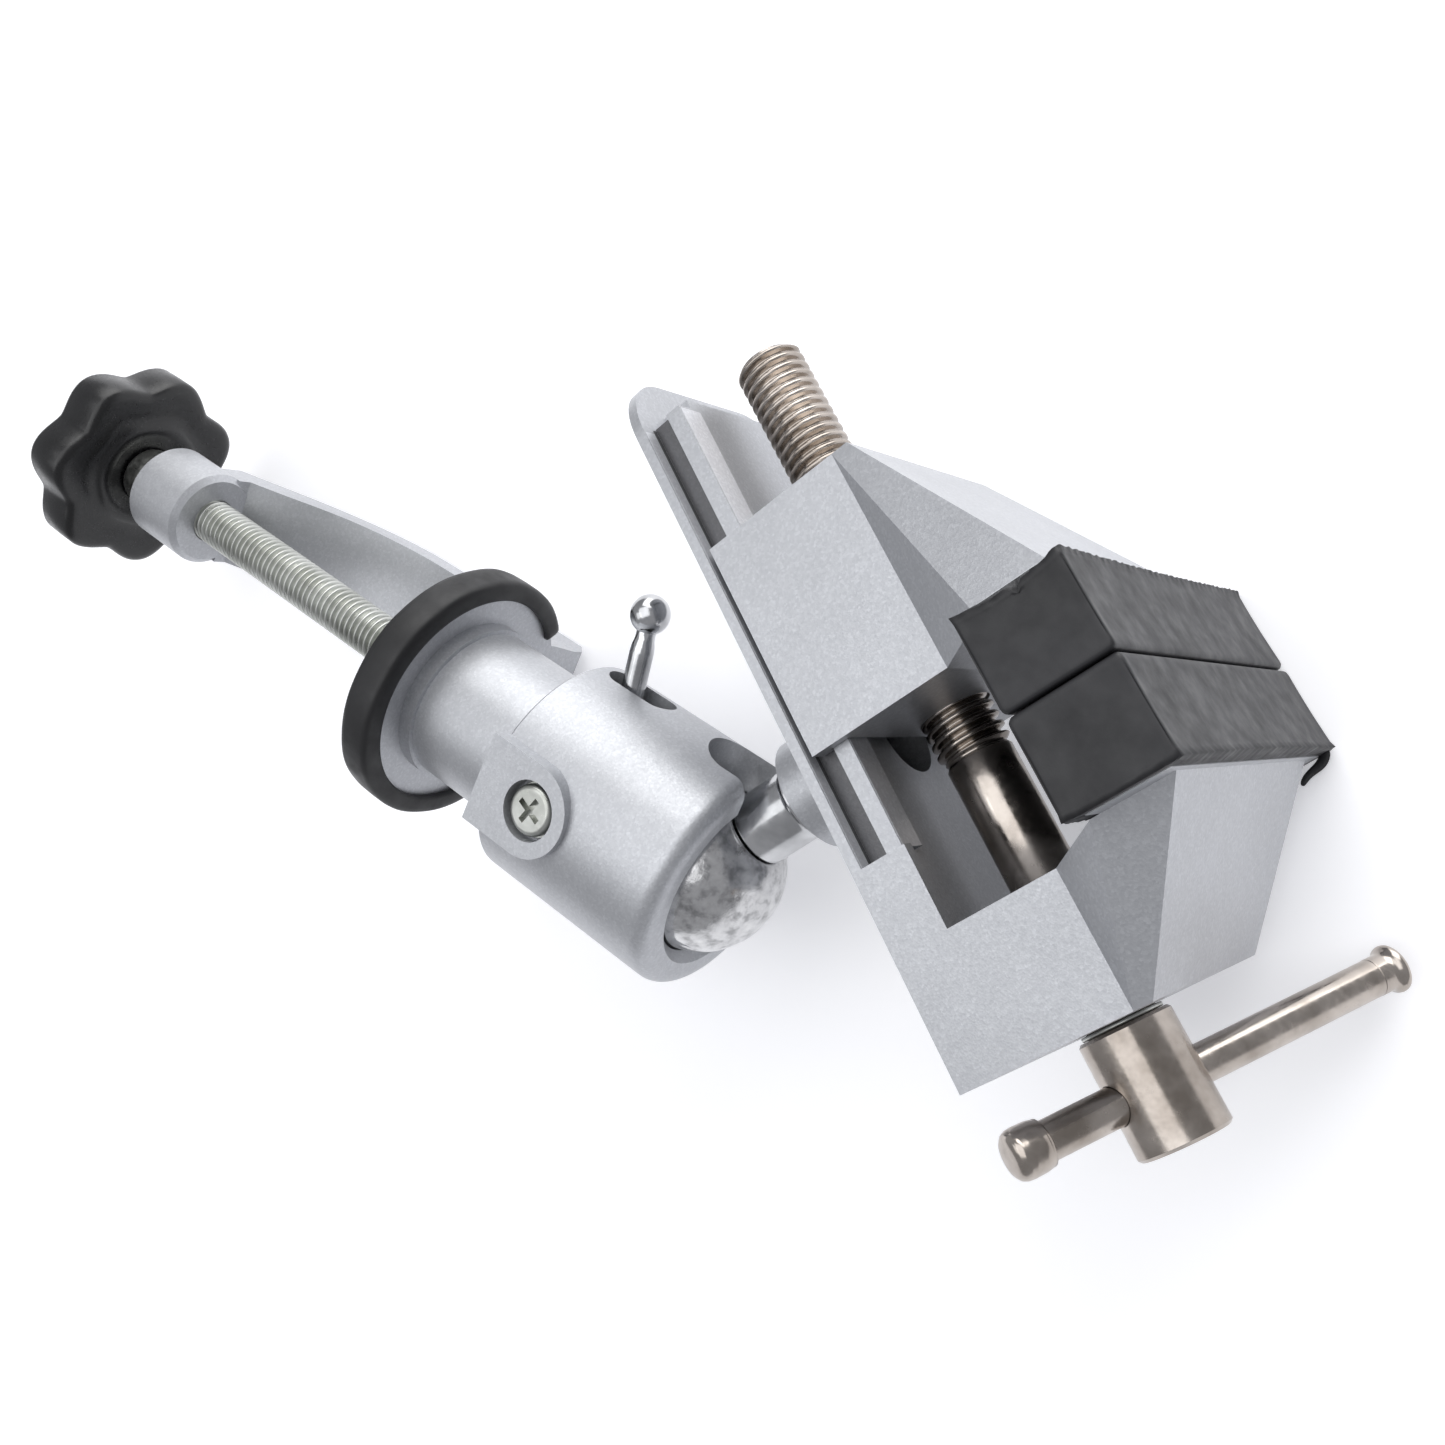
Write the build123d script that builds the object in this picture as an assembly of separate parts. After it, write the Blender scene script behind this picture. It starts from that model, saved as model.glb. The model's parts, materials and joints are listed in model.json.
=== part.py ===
from build123d import *
import math
import os

# ---------------------------------------------------------------- driving dimensions (mm)
# Head frame: X along the lead screw towards its handle, Y across the jaws, Z up from the bed.
# X = 0 is the plane where the two jaws meet, Z = 0 the underside of the bed.
BED_W = 39.0            # width of bed and jaw blocks
BED_X0 = -70.0          # rounded end of the bed
BED_X1 = 30.9           # outer face of the fixed jaw
BED_CORNER = 9.5
FLANGE_T = 1.5          # thin outer flange of the bed
NECK_HALF = 16.4        # half width under the rail lips
LIP_HALF = 17.5         # half width over the rail lips
LIP_Z0, LIP_Z1 = 4.4, 6.7
CHAN_HALF = 12.4        # half width of the channel between the rails
CHAN_Z = 5.6            # floor of the channel
RAIL_X0 = -61.5
FLOOR_X0 = -64.3
WALL_X0, FIX_X0 = 3.4, 14.2
WALL_Z, WALL_T = 8.0, 1.7
BLOCK_Z = 23.0          # top of the jaw blocks
MOV_X0, MOV_X1 = -41.35, -11.25
RIDE_GAP = 0.3          # moving jaw over the rails
JAW_GAP = 0.1           # each cap stops this far from the meeting plane
HEAD_X = 12.3           # back of the jaw plates
HEAD_HALF = 26.0        # half width of a jaw head at the cap
HEAD_Z0, HEAD_Z1 = 31.4, 41.7
SLOPE_Z = 25.4          # where the outer slope of a head starts
CAP_X = 12.2            # depth of a rubber cap
CAP_HALF = 32.0         # half width of a rubber cap
CAP_Z0, CAP_Z1 = 30.7, 44.5
CAP_T = 1.9             # rubber wall
SCREW_Z = 13.35         # lead screw axis above the bed's underside
SCREW_R = 4.85
SHANK_R = 4.5
FIT = 0.07              # radial running clearance
HUB_R = 6.0
HUB_X0, HUB_X1 = 31.6, 46.2
BAR_X = 39.3
BAR_R = 2.4
BAR_ANGLE = 40.5        # turn of the bar about the screw axis
CAP_NEAR = (-15.9, -20.7)
CAP_FAR = (32.6, 36.8)
STEM_X = -12.15         # ball stem axis under the bed
BALL_Z = -31.46
BALL_R = 12.0
BALL_SEAT = 12.3
STEM_R = 5.2
BOSS_R, BOSS_Z = 8.0, -10.0
SUNK_Z = -6.0            # bottom of the counterbore over the ball stem
SOCK_R = 17.4
SOCK_S0, SOCK_S1 = -4.6, 28.3
CAV_S1 = 25.0
STUB_R = 6.0
SHAFT_S = 18.9          # cam shaft distance behind the ball centre
SHAFT_R = 4.0
TOMB_Z = -18.4
TOMB_R = 6.9
LEVER_ANGLE = 79.0      # lever direction from the clamp axis
LEVER_L = 28.3
LEVER_R = 1.8
NECK_S0, NECK_R = 28.45, 12.5
COLLAR_S0, COLLAR_R = 48.2, 13.2
DISC_S0, DISC_S1, DISC_R = 50.6, 54.4, 18.9
RING_S0, RING_S1, RING_R0, RING_R1 = 49.4, 55.6, 17.5, 20.6
ARM_HALF = 8.0
CBOSS_S0, CBOSS_S1, CBOSS_R = 118.0, 132.0, 8.6
CSCREW_R = 4.0
PAD_S0, FOOT_S0, FOOT_S1, FOOT_R = 56.2, 57.4, 61.6, 8.0
NUT_S0, KNOB_S0, KNOB_S1 = 132.6, 138.5, 149.0
KNOB_MID, KNOB_WAVE = 17.15, 1.15
KNOB_LOBES = 7
KNOB_PHASE = 11.0

# Clamp frame inside the head frame: E1 runs from the ball to the clamp knob, E3 towards the arm.
E0 = (-12.15, 0.0, BALL_Z)
E1 = (-0.85437, -0.04798, -0.51744)
E3 = (-0.05607, 0.99843, 0.0)
# Resting pose: the floor's upward direction and its X direction, given in the head frame.
UP = (-0.000000, -0.997488, 0.070830)
RIGHT = (-0.854426, -0.036801, -0.518268)
SHIFT = (-59.6817, 4.5916, 29.7451)


def box(x0, x1, y0, y1, z0, z1):
    return Pos((x0 + x1) / 2, (y0 + y1) / 2, (z0 + z1) / 2) * Box(x1 - x0, y1 - y0, z1 - z0)


def cylx(r, x0, x1, y=0.0, z=0.0):
    return Pos((x0 + x1) / 2, y, z) * Rot(0, 90, 0) * Cylinder(r, x1 - x0)


def cyly(r, y0, y1, x=0.0, z=0.0):
    return Pos(x, (y0 + y1) / 2, z) * Rot(90, 0, 0) * Cylinder(r, y1 - y0)


def cylz(r, z0, z1, x=0.0, y=0.0):
    return Pos(x, y, (z0 + z1) / 2) * Cylinder(r, z1 - z0)


def revx(points):
    """Solid of revolution about the X axis from (x, r) points."""
    face = make_face(Polyline(*[(x, r, 0) for x, r in points], close=True))
    return revolve(face, axis=Axis.X)


def poly_face(pts):
    return Face(Wire.make_polygon([Vector(*p) for p in pts], close=True))


def jaw_head(x_in, x_out, x_cap):
    """Faceted jaw head that flares from the block's top up to the back of the rubber cap."""
    def both(x, y, z):
        return (x, -y, z), (x, y, z)
    a3, b3 = both(x_in, BED_W / 2, BLOCK_Z)
    a2, b2 = both(x_out, BED_W / 2, BLOCK_Z)
    s, t = both(x_out, BED_W / 2, SLOPE_Z)
    p, pp = both(x_cap, HEAD_HALF, HEAD_Z0)
    q, qq = both(x_cap, HEAD_HALF, HEAD_Z1)
    faces = [poly_face(f) for f in ([a3, a2, p], [b3, b2, pp], [a2, s, q, p], [b2, t, qq, pp], [a2, b2, t, s],
                                    [s, t, qq, q], [p, pp, qq, q], [a3, b3, pp, p], [a3, a2, b2, b3])]
    return Solid(Shell(faces))


def jaw_plate():
    return box(2.0, HEAD_X, -CAP_HALF + CAP_T, CAP_HALF - CAP_T, CAP_Z0 + CAP_T, CAP_Z1 - CAP_T)


H = BED_W / 2
parts = {}

# ---------------------------------------------------------------- bed with fixed jaw
base = box(BED_X0, BED_X1, -H, H, 0, FLANGE_T)
base = fillet(base.edges().filter_by(Axis.Z).sort_by(Axis.X)[:2], BED_CORNER)
bed = base + box(RAIL_X0, FIX_X0, -NECK_HALF, NECK_HALF, 0.5, LIP_Z1)
bed += box(RAIL_X0, WALL_X0, -LIP_HALF, LIP_HALF, LIP_Z0, LIP_Z1)
bed -= box(RAIL_X0 - 1, WALL_X0, -CHAN_HALF, CHAN_HALF, CHAN_Z, 9)
bed += box(FLOOR_X0, RAIL_X0 + 1, -CHAN_HALF, CHAN_HALF, 0.5, CHAN_Z)
bed += box(WALL_X0, FIX_X0, -H, H, 0, WALL_Z)
bed -= box(WALL_X0, FIX_X0, -H + WALL_T, H - WALL_T, CHAN_Z, 9)
bed -= box(-57, 9.0, -13.0, 13.0, -1, 2.6)
block = box(FIX_X0, BED_X1, -H, H, 0, BLOCK_Z)
block -= box(17.2, 28.2, -15.8, -8.2, -1, 20)
block -= box(17.2, 28.2, 8.2, 15.8, -1, 20)
bed += block
bed += jaw_head(FIX_X0, BED_X1, HEAD_X)
bed += jaw_plate()
bed += cylz(BOSS_R, BOSS_Z, 3.0, STEM_X)
bed -= cylz(4.0, BOSS_Z - 1, 3.0, STEM_X)
bed -= cylz(5.3, SUNK_Z, 9.0, STEM_X)
bed -= cylx(SHANK_R + FIT, FIX_X0 - 1, BED_X1 + 1, 0, SCREW_Z)
bed -= cylz(1.2, -1, 17.0, 22.0, -4.9)
parts["bed_fixed_jaw"] = ("H", bed)
parts["retaining_pin"] = ("H", cylz(1.2, 0.3, 16.8, 22.0, -4.9))

# ---------------------------------------------------------------- moving jaw
mj = box(MOV_X0, MOV_X1, -H, H, 2.35, BLOCK_Z)
mj -= box(MOV_X0 - 1, MOV_X1 + 1, -LIP_HALF - RIDE_GAP, LIP_HALF + RIDE_GAP, LIP_Z0 - RIDE_GAP, LIP_Z1 + RIDE_GAP)
mj -= box(MOV_X0 - 1, MOV_X1 + 1, -NECK_HALF - RIDE_GAP, NECK_HALF + RIDE_GAP, 1.0, LIP_Z0)
mj += jaw_head(MOV_X1, MOV_X0, -HEAD_X)
mj += mirror(jaw_plate(), about=Plane.YZ)
mj -= cylx(SCREW_R + FIT, MOV_X0 - 1, MOV_X1 + 1, 0, SCREW_Z)
parts["moving_jaw"] = ("H", mj)

cap = box(JAW_GAP, CAP_X, -CAP_HALF, CAP_HALF, CAP_Z0, CAP_Z1)
cap = fillet(cap.edges().filter_by(Axis.Y), 0.7)
cap -= box(2.0, CAP_X + 1, -CAP_HALF + CAP_T, CAP_HALF - CAP_T, CAP_Z0 + CAP_T, CAP_Z1 - CAP_T)
parts["jaw_cap_fixed"] = ("H", cap)
parts["jaw_cap_moving"] = ("H", mirror(cap, about=Plane.YZ))

# ---------------------------------------------------------------- lead screw, hub and bar
ls = revx([(-67.9, 0), (-67.9, SCREW_R - 1.0), (-66.9, SCREW_R), (-5.4, SCREW_R), (-4.9, SHANK_R), (20.5, SHANK_R),
           (20.5, 3.4), (23.5, 3.4), (23.5, SHANK_R), (35.5, SHANK_R), (35.5, 0)])
parts["lead_screw"] = ("H", Pos(0, 0, SCREW_Z) * ls)
parts["thrust_washer"] = ("H", Pos(0, 0, SCREW_Z) * (cylx(6.3, 30.97, 31.57) - cylx(SHANK_R + 0.02, 30, 32)))
hub = cylx(HUB_R, HUB_X0, HUB_X1)
hub = chamfer(hub.edges().filter_by(GeomType.CIRCLE), 0.4)
hub -= cylx(SHANK_R, HUB_X0 - 1, 35.5)
hub -= Rot(BAR_ANGLE, 0, 0) * cyly(BAR_R + FIT, -10, 10, BAR_X)
parts["screw_hub"] = ("H", Pos(0, 0, SCREW_Z) * hub)
barrel = Pos(0, 0, SCREW_Z) * Rot(BAR_ANGLE, 0, 0)
parts["t_bar"] = ("H", barrel * cyly(BAR_R, CAP_NEAR[1] + 1.6, CAP_FAR[1] - 1.4, BAR_X))


def bar_cap(y_in, y_out, wall):
    d = 1 if y_out > y_in else -1
    body = cyly(3.1, min(y_in, y_out), max(y_in, y_out), BAR_X)
    edges = body.edges().filter_by(GeomType.CIRCLE).sort_by(Axis.Y)
    body = fillet(edges[-1] if d > 0 else edges[0], 1.0)
    lo, hi = sorted((y_in - d, y_out - wall * d))
    return body - cyly(BAR_R, lo, hi, BAR_X)


parts["t_bar_caps"] = ("H", Compound(children=[barrel * bar_cap(*CAP_NEAR, 1.6), barrel * bar_cap(*CAP_FAR, 1.4)]))

# ---------------------------------------------------------------- ball and stem
flat_z = BALL_Z + math.sqrt(BALL_R ** 2 - STEM_R ** 2)
ball = Pos(STEM_X, 0, BALL_Z) * Sphere(BALL_R)
ball -= box(STEM_X - 8, STEM_X + 8, -8, 8, flat_z, flat_z + 5)
ball -= cylz(3.5 + FIT, BALL_Z - 5.0, flat_z + 1, STEM_X)
parts["swivel_ball"] = ("H", ball)
stem = cylz(STEM_R, flat_z + 0.05, BOSS_Z, STEM_X) + cylz(3.5, BALL_Z - 4.9, flat_z + 1, STEM_X)
stem += cylz(4.0, BOSS_Z - 1, SUNK_Z, STEM_X)
stem -= cylz(1.9, -17.0, 3.0, STEM_X)
parts["ball_stem"] = ("H", stem)
parts["stem_washer"] = ("H", cylz(4.9, SUNK_Z, SUNK_Z + 0.8, STEM_X) - cylz(1.95, SUNK_Z - 1, SUNK_Z + 2, STEM_X))
sh = cylz(3.4, SUNK_Z + 0.8, SUNK_Z + 3.0, STEM_X)
sh = fillet(sh.edges().filter_by(GeomType.CIRCLE).sort_by(Axis.Z)[-1], 0.8)
sh -= box(STEM_X - 0.5, STEM_X + 0.5, -2.2, 2.2, SUNK_Z + 1.8, 0)
sh -= box(STEM_X - 2.2, STEM_X + 2.2, -0.5, 0.5, SUNK_Z + 1.8, 0)
sh += cylz(1.9, -16.8, SUNK_Z + 1.0, STEM_X)
parts["stem_screw"] = ("H", sh)

# ---------------------------------------------------------------- socket body
# Clamp frame: X along E1 from the ball centre, Y on the slot side, Z towards the clamp arm.
sock = revx([(SOCK_S0, 0), (SOCK_S0, SOCK_R), (SOCK_S1, SOCK_R), (SOCK_S1, 0)])
sock = fillet(sock.edges().filter_by(GeomType.CIRCLE).sort_by(Axis.X)[0], 2.6)
sock = chamfer(sock.edges().filter_by(GeomType.CIRCLE).sort_by(Axis.X)[-1], 0.5)
tomb = box(19.3, 28.9, -TOMB_R, TOMB_R, TOMB_Z, -13.0) + cylz(TOMB_R, TOMB_Z, -13.0, 19.3)
sock += tomb
cavity = cylx(BALL_SEAT, 0, CAV_S1) + Sphere(BALL_SEAT)
sock -= cavity
sock -= revx([(-6.0, 0), (-6.0, 14.3), (-3.0, 11.85), (-3.0, 0)])
sock -= cylx(STUB_R + 0.08, CAV_S1 - 1, SOCK_S1 + 1)
sock -= cyly(5.9, 5, 20, 0.3)
sock -= box(-8, 0.3, 5, 20, -5.9, 5.9)
sock -= box(17.25, 23.75, 8, 20, -2.75, 2.75)
sock -= cyly(2.75, 8, 20, 17.25)
sock -= cyly(2.75, 8, 20, 23.75)
sock -= cylz(SHAFT_R + 0.06, -16.0, 15.5, SHAFT_S)
sock -= cylz(4.35, -19.5, -16.0, SHAFT_S)
parts["socket_body"] = ("K", sock)

# ---------------------------------------------------------------- cam shaft, lever and plunger
lever = Pos(SHAFT_S, 0, 0) * Rot(0, 0, LEVER_ANGLE)
shaft = cylz(SHAFT_R, -15.9, -5.0, SHAFT_S) + cylz(SHAFT_R, 5.0, 15.3, SHAFT_S) + cylz(3.6, -5.5, 5.5, SHAFT_S - 0.3)
shaft = shaft - lever * cylx(LEVER_R, -1.5, 8) - cylz(1.9, -17, -9, SHAFT_S)
parts["cam_shaft"] = ("K", shaft)
parts["lever_rod"] = ("K", lever * cylx(LEVER_R, -1.5, LEVER_L - 0.5))
parts["lever_ball"] = ("K", lever * (Pos(LEVER_L, 0, 0) * Sphere(3.0) - cylx(LEVER_R, 0, LEVER_L - 0.5)))
cs = cylz(3.7, -18.1, -16.35, SHAFT_S)
cs = fillet(cs.edges().filter_by(GeomType.CIRCLE).sort_by(Axis.Z)[0], 0.8)
cross = Pos(0, 0, -17.9) * (Box(4.2, 0.9, 1.8) + Box(0.9, 4.2, 1.8))
cs -= Pos(SHAFT_S, 0, 0) * Rot(0, 0, 20) * cross
cs += cylz(1.9, -16.5, -9.2, SHAFT_S)
parts["cam_screw"] = ("K", cs)
parts["cam_washer"] = ("K", cylz(3.9, -16.35, -15.9, SHAFT_S) - cylz(1.95, -17, -15, SHAFT_S))
front = math.sqrt(BALL_SEAT ** 2 - 64.0)
bowl = (BALL_SEAT * math.cos(0.35), BALL_SEAT * math.sin(0.35))
plunger_face = make_face(Polyline((8.0, front), (8.0, 12.0), (14.6, 12.0), (14.6, 0), (BALL_SEAT, 0))
                         + ThreePointArc((BALL_SEAT, 0), bowl, (8.0, front)))
parts["plunger"] = ("K", revolve(plunger_face, axis=Axis.X))

# ---------------------------------------------------------------- clamp frame casting
cf = revx([(24.9, 0), (24.9, STUB_R), (NECK_S0, STUB_R), (NECK_S0, NECK_R), (COLLAR_S0, NECK_R), (COLLAR_S0, COLLAR_R),
           (DISC_S0, COLLAR_R), (DISC_S0, DISC_R), (DISC_S1, DISC_R), (DISC_S1, 0)])
edge = Polyline((DISC_S1, 12.0), (DISC_S0, 12.0), (DISC_S0, 25.5), (52.4, 27.5), (57.0, 27.5), (80.0, 26.9))
outer = Spline((80.0, 26.9), (90.0, 26.2), (100.0, 23.2), (109.5, 18.1), (121.0, 9.8), tangents=((1, -0.03), (1, -0.75)))
tail = Polyline((121.0, 9.8), (124.0, 7.6), (124.0, 3.0), (118.2, 3.0), (118.2, 5.4))
inner = Spline((118.2, 5.4), (112.0, 10.3), (107.0, 14.5), (98.0, 19.6), (88.0, 22.4), (76.0, 23.0), tangents=((-1, 0.75), (-1, 0)))
root = Polyline((76.0, 23.0), (58.0, 23.0), (DISC_S1, 20.4), (DISC_S1, 12.0))
arm_face = make_face(edge + outer + tail + inner + root)
arm = extrude(Plane.XZ * arm_face, ARM_HALF, both=True)
lug = extrude(Plane.YZ * make_face(Polyline((-9.6, 12.0), (9.6, 12.0), (9.0, 18.0), (ARM_HALF, 23.4), (-ARM_HALF, 23.4),
                                            (-9.0, 18.0), close=True)), DISC_S1 - DISC_S0)
lug = Pos(DISC_S0, 0, 0) * lug
cboss = cylx(CBOSS_R, CBOSS_S0, CBOSS_S1)
cboss = chamfer(cboss.edges().filter_by(GeomType.CIRCLE), 1.0)
cf = cf + arm + lug + cboss
cf -= cylx(CSCREW_R + FIT, CBOSS_S0 - 1, CBOSS_S1 + 1)
cf -= cylx(1.9, 23.0, 38.0)
parts["clamp_frame"] = ("K", cf)
parts["swivel_retainer"] = ("K", cylx(8.2, 23.7, 24.9) - cylx(1.95, 23, 26) - cylx(3.9, 23, 24.3))
parts["swivel_screw"] = ("K", cylx(3.9, 23.7, 24.3) + cylx(1.9, 24.0, 37.0))

ring = cylx(RING_R1, RING_S0, RING_S1)
ring = fillet(ring.edges().filter_by(GeomType.CIRCLE), 0.8)
ring -= cylx(RING_R0, RING_S0 - 1, RING_S1 + 1)
ring -= cylx(DISC_R, DISC_S0, DISC_S1)
g = math.radians(37.0)
wedge = make_face(Polyline((0, 0), (40 * math.sin(g), 40 * math.cos(g)), (0, 60), (-40 * math.sin(g), 40 * math.cos(g)), close=True))
ring -= Pos(45, 0, 0) * extrude(Plane.YZ * wedge, 15)
parts["disc_ring"] = ("K", ring)

# ---------------------------------------------------------------- clamp screw, foot and knob
parts["clamp_screw"] = ("K", revx([(59.0, 0), (59.0, 3.0), (62.4, 3.0), (63.0, CSCREW_R), (146.0, CSCREW_R), (146.0, 0)]))
parts["clamp_foot"] = ("K", revx([(FOOT_S0, 0), (FOOT_S0, FOOT_R), (59.6, FOOT_R), (60.4, 5.6), (FOOT_S1, 5.2), (FOOT_S1, 3.07),
                                  (58.8, 3.07), (58.8, 0)]))
parts["foot_pad"] = ("K", cylx(7.6, PAD_S0, FOOT_S0))
nut = cylx(5.2, NUT_S0, KNOB_S0)
nut = chamfer(nut.edges().filter_by(GeomType.CIRCLE).sort_by(Axis.X)[0], 0.5) - cylx(CSCREW_R, 130, 140)
parts["knob_collar"] = ("K", nut)
pts = []
for i in range(KNOB_LOBES * 8):
    a = 2 * math.pi * i / (KNOB_LOBES * 8)
    r = KNOB_MID + KNOB_WAVE * math.cos(KNOB_LOBES * a)
    b = a + math.radians(KNOB_PHASE)
    pts.append((r * math.cos(b), r * math.sin(b)))
kn = extrude(Plane.YZ * make_face(Spline(*pts, periodic=True)), KNOB_S1 - KNOB_S0)
kn = chamfer(kn.edges().filter_by(GeomType.BSPLINE), 0.8)
kn = Pos(KNOB_S0, 0, 0) * kn
kn -= cylx(CSCREW_R, 130, 146.0)
parts["clamp_knob"] = ("K", kn)

# ---------------------------------------------------------------- placement and export
clamp_plane = Plane(origin=E0, x_dir=E1, z_dir=E3)
up = Vector(*UP).normalized()
xr = Vector(*RIGHT)
xr = (xr - up * xr.dot(up)).normalized()
floor = Plane(origin=(0, 0, 0), x_dir=xr, z_dir=up)
to_floor = Pos(*SHIFT) * floor.location.inverse()

os.makedirs("parts", exist_ok=True)
for name, (frame, shape) in parts.items():
    if frame == "K":
        shape = clamp_plane.location * shape
    shape = to_floor * shape
    export_step(shape, "parts/%s.step" % name)
    print("%-18s solids %d valid %s volume %.1f" % (name, len(shape.solids()), shape.is_valid, shape.volume))
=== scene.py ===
import json
import math

import bpy
import numpy as np
from mathutils import Matrix, Vector


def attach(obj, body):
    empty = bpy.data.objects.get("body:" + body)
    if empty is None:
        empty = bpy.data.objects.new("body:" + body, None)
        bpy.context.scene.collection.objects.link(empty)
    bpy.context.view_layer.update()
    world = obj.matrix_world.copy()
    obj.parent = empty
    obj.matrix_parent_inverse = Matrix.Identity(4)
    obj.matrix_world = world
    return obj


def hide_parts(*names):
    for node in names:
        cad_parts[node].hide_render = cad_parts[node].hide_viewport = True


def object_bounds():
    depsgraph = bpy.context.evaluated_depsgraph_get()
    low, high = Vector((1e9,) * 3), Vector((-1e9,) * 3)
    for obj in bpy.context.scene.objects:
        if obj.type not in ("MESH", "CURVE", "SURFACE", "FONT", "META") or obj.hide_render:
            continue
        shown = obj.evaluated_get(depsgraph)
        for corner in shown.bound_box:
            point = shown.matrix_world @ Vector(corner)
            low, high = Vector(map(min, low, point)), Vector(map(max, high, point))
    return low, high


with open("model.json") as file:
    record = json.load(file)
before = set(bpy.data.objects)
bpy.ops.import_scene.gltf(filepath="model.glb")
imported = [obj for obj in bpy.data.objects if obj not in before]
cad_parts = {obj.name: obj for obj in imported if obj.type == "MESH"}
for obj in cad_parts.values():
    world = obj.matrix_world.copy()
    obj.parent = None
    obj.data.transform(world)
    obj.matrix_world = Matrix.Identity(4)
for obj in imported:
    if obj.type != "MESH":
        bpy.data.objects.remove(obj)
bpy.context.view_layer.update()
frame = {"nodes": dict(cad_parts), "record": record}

MM = 0.001
record = frame["record"]
joints = {j["name"]: j for j in record["behaviour"]["joints"]}


def unit(v):
    v = np.array(v, float)
    return v / np.linalg.norm(v)


# ------------------------------------------------------------------ the two frames of the object
# Head frame: X along the lead screw, Z along the ball stem. Clamp frame: X along the clamp screw, Z towards the arm.
VX = unit(joints["lead_screw_turn"]["axis"])
VZ = unit(joints["head_spin"]["axis"])
VY = unit(np.cross(VZ, VX))
V0 = np.array(joints["lead_screw_turn"]["pos_m"], float) - 13.35 * MM * VZ
KX = unit(joints["socket_swivel"]["axis"])
KZ = -unit(joints["cam_lock"]["axis"])
KY = unit(np.cross(KZ, KX))
K0 = np.array(joints["socket_swivel"]["pos_m"], float)
FRAMES = {"V": (V0, np.array([VX, VY, VZ])), "K": (K0, np.array([KX, KY, KZ]))}


def place(fr, pts):
    """Points in millimetres of the head or clamp frame, as metres of the row frame."""
    o, m = FRAMES[fr]
    return np.asarray(pts, float).reshape(-1, 3) * MM @ m + o


# ------------------------------------------------------------------ mesh helpers
def new_mesh(name, verts, faces, smooth=True):
    me = bpy.data.meshes.new(name)
    me.from_pydata([tuple(v) for v in verts], [], [tuple(f) for f in faces])
    me.validate()
    me.update()
    if smooth:
        me.polygons.foreach_set("use_smooth", [True] * len(me.polygons))
    ob = bpy.data.objects.new(name, me)
    bpy.context.scene.collection.objects.link(ob)
    return ob


def revolved(name, fr, rings, n, radius, smooth=True, phase=0.0):
    """A closed body round the frame's X axis. rings holds x in mm; radius(x, angle) gives the radius in mm."""
    ang = np.arange(n) * 2 * math.pi / n + phase
    verts, faces = [], []
    for i, x in enumerate(rings):
        r = radius(i, x, ang)
        verts.append(np.c_[np.full(n, x), r * np.cos(ang), r * np.sin(ang)])
    m = len(rings)
    v = np.vstack(verts + [np.array([[rings[0], 0, 0], [rings[-1], 0, 0]])])
    for i in range(m - 1):
        for j in range(n):
            k = (j + 1) % n
            faces.append((i * n + j, i * n + k, (i + 1) * n + k, (i + 1) * n + j))
    a, b = m * n, m * n + 1
    for j in range(n):
        k = (j + 1) % n
        faces.append((a, k, j))
        faces.append((b, (m - 1) * n + j, (m - 1) * n + k))
    return v, faces


def hash_noise(p, seed=0):
    """Smooth repeatable noise from sums of sines, about -1 to 1."""
    out = np.zeros(len(p))
    rng = np.random.RandomState(seed)
    for o in range(5):
        d = rng.normal(size=3)
        d /= np.linalg.norm(d)
        out += np.sin(p @ d * (0.35 * 1.9 ** o) + rng.uniform(0, 6.28)) / 1.45 ** o
    return out / 2.2


def bevel(ob, width, segments=3, angle=28):
    b = ob.modifiers.new("bevel", "BEVEL")
    b.width = width * MM
    b.segments = segments
    b.limit_method = "ANGLE"
    b.angle_limit = math.radians(angle)
    b.use_clamp_overlap = True
    b.harden_normals = False
    return b


# ------------------------------------------------------------------ materials
def base_material(name):
    m = bpy.data.materials.new(name)
    m.use_nodes = True
    t = m.node_tree
    t.nodes.clear()
    out = t.nodes.new("ShaderNodeOutputMaterial")
    p = t.nodes.new("ShaderNodeBsdfPrincipled")
    t.links.new(p.outputs["BSDF"], out.inputs["Surface"])
    co = t.nodes.new("ShaderNodeTexCoord")
    return m, t, p, co


def noise(t, co, scale, detail=4.0, rough=0.55, stretch=None):
    n = t.nodes.new("ShaderNodeTexNoise")
    n.inputs["Scale"].default_value = scale
    n.inputs["Detail"].default_value = detail
    n.inputs["Roughness"].default_value = rough
    if stretch is not None:
        mp = t.nodes.new("ShaderNodeMapping")
        loc, rot, sc = stretch
        mp.inputs["Location"].default_value = loc
        mp.inputs["Rotation"].default_value = rot
        mp.inputs["Scale"].default_value = sc
        t.links.new(co.outputs["Object"], mp.inputs["Vector"])
        t.links.new(mp.outputs["Vector"], n.inputs["Vector"])
    else:
        t.links.new(co.outputs["Object"], n.inputs["Vector"])
    return n


def ramp(t, src, stops):
    r = t.nodes.new("ShaderNodeValToRGB")
    e = r.color_ramp.elements
    while len(e) < len(stops):
        e.new(0.5)
    for i, (pos, col) in enumerate(stops):
        e[i].position = pos
        e[i].color = col if len(col) == 4 else (*col, 1)
    t.links.new(src, r.inputs["Fac"])
    return r


def spread(t, src, lo, hi):
    r = t.nodes.new("ShaderNodeMapRange")
    r.inputs["From Min"].default_value = 0.3
    r.inputs["From Max"].default_value = 0.7
    r.inputs["To Min"].default_value = lo
    r.inputs["To Max"].default_value = hi
    t.links.new(src, r.inputs["Value"])
    return r


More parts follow.
